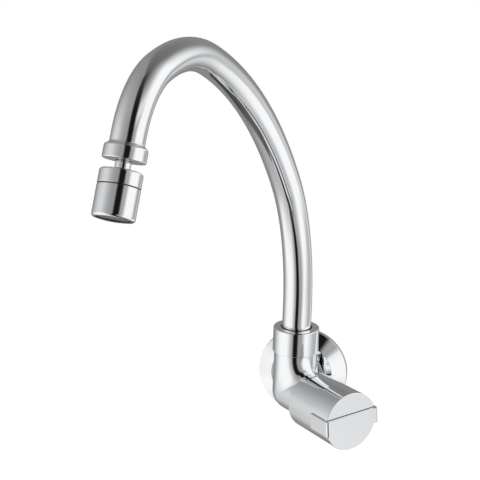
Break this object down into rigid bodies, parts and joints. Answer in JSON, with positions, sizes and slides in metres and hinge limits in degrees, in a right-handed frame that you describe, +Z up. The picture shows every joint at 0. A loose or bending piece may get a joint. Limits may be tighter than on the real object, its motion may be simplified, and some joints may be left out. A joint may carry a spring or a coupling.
{
  "type": "wall-mounted swivel spout tap",
  "caption": "Wall-mounted quarter-turn tap with a tall swivel gooseneck spout and a ball-jointed aerator.",
  "frame": {"origin": "centre of the inlet thread in the wall plane", "axes": "+Y into the wall along the inlet, +Z up, the spout and handle on the -Y side"},
  "size_m": [0.1427, 0.4135, 0.3565],
  "materials": {
    "chrome_plated_brass": "bright chrome plate",
    "bare_brass": "machined",
    "seal_rubber": "moulded",
    "alumina_ceramic": "lapped",
    "slide_plastic": "moulded",
    "core_plastic": "moulded",
    "stainless_steel": "drawn"
  },
  "bodies": {
    "tap": {"tap_body": "chrome_plated_brass", "wall_gasket": "seal_rubber", "wall_flange": "chrome_plated_brass", "inlet_nipple": "bare_brass", "inlet_washer": "seal_rubber", "headwork_body": "bare_brass", "headwork_o_ring": "seal_rubber", "disc_gasket": "seal_rubber", "fixed_ceramic_disc": "alumina_ceramic", "swivel_nut": "chrome_plated_brass", "lower_slip_ring": "slide_plastic", "upper_slip_ring": "slide_plastic"},
    "handle": {"handle_sleeve": "chrome_plated_brass", "handle_bar": "chrome_plated_brass", "handle_adapter": "slide_plastic", "handle_screw": "stainless_steel", "headwork_spindle": "bare_brass", "rotating_ceramic_disc": "alumina_ceramic", "spindle_o_rings": "seal_rubber", "spindle_circlip": "stainless_steel"},
    "spout": {"spout_tube": "chrome_plated_brass", "spout_tail": "bare_brass", "tail_o_rings": "seal_rubber", "outlet_ring": "chrome_plated_brass", "stem_washer": "slide_plastic"},
    "outlet_joint": {"outlet_stem": "chrome_plated_brass", "swivel_ball": "chrome_plated_brass", "stem_o_ring": "seal_rubber"},
    "aerator": {"aerator_cap": "chrome_plated_brass", "ball_seat": "slide_plastic", "aerator_housing": "chrome_plated_brass", "aerator_gasket": "seal_rubber", "aerator_core": "core_plastic", "aerator_mesh": "stainless_steel"}
  },
  "joints": [
    {"name": "handle_turn", "type": "hinge", "parent": "tap", "child": "handle", "pos_m": [0, -0.046, 0], "axis": [0.7071, -0.7071, 0], "range_deg": [-5, 85]},
    {"name": "spout_swivel", "type": "hinge", "parent": "tap", "child": "spout", "pos_m": [0, -0.046, 0], "axis": [0, 0, 1], "range_deg": [-80, 99]},
    {"name": "aerator_spin", "type": "hinge", "parent": "spout", "child": "outlet_joint", "pos_m": [-0.05624, -0.37159, 0.26184], "axis": [-0.0684, -0.3961, -0.9157], "continuous": true},
    {"name": "aerator_tilt", "type": "hinge", "parent": "outlet_joint", "child": "aerator", "pos_m": [-0.05713, -0.37674, 0.24993], "axis": [-0.921, -0.3278, 0.2106], "range_deg": [-21, 15]}
  ]
}
